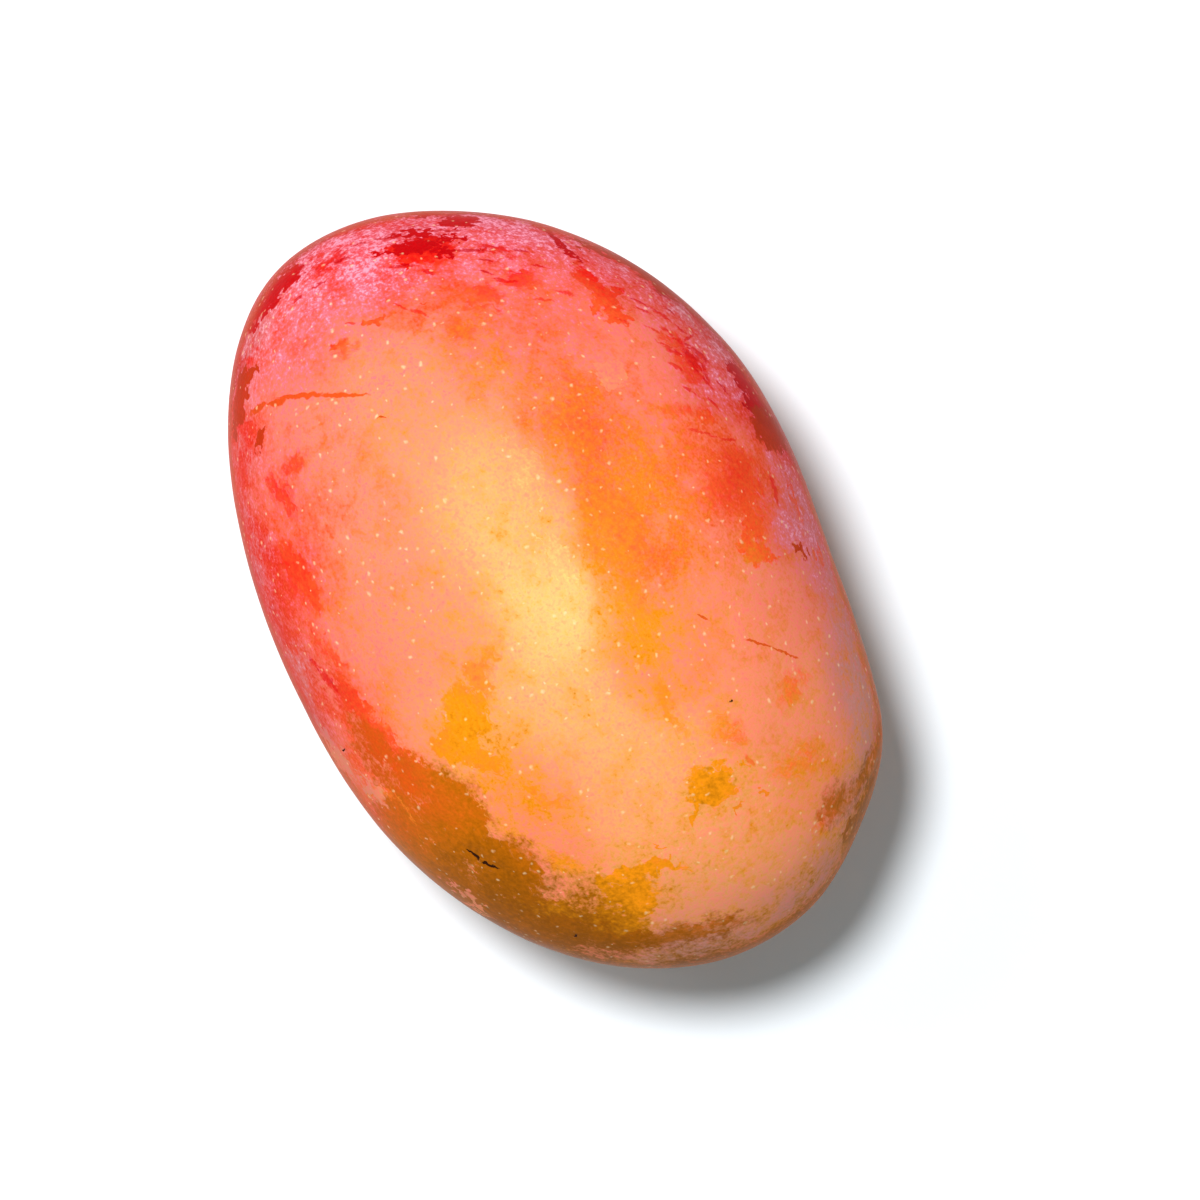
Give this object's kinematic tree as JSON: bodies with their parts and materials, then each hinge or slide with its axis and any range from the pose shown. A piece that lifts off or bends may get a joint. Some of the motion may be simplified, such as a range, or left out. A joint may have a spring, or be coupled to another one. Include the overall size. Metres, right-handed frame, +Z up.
{
  "type": "mango",
  "caption": "Whole ripe mango lying on one cheek: a skewed oval body with a small beak near the tip, a sinus above it and a shallow stem cavity with a corky scar.",
  "frame": {"origin": "on the surface that the fruit rests on, under the middle of its bounding box", "axes": "+X along the fruit's length, from the stem end to the tip; +Y towards the side with the beak; +Z up, away from the cheek that it lies on"},
  "size_m": [0.1252, 0.0844, 0.0751],
  "materials": {
    "skin": "satin waxy fruit skin, red over orange and yellow, with a pale bloom"
  },
  "bodies": {
    "root": {"mango": "skin"}
  },
  "joints": []
}
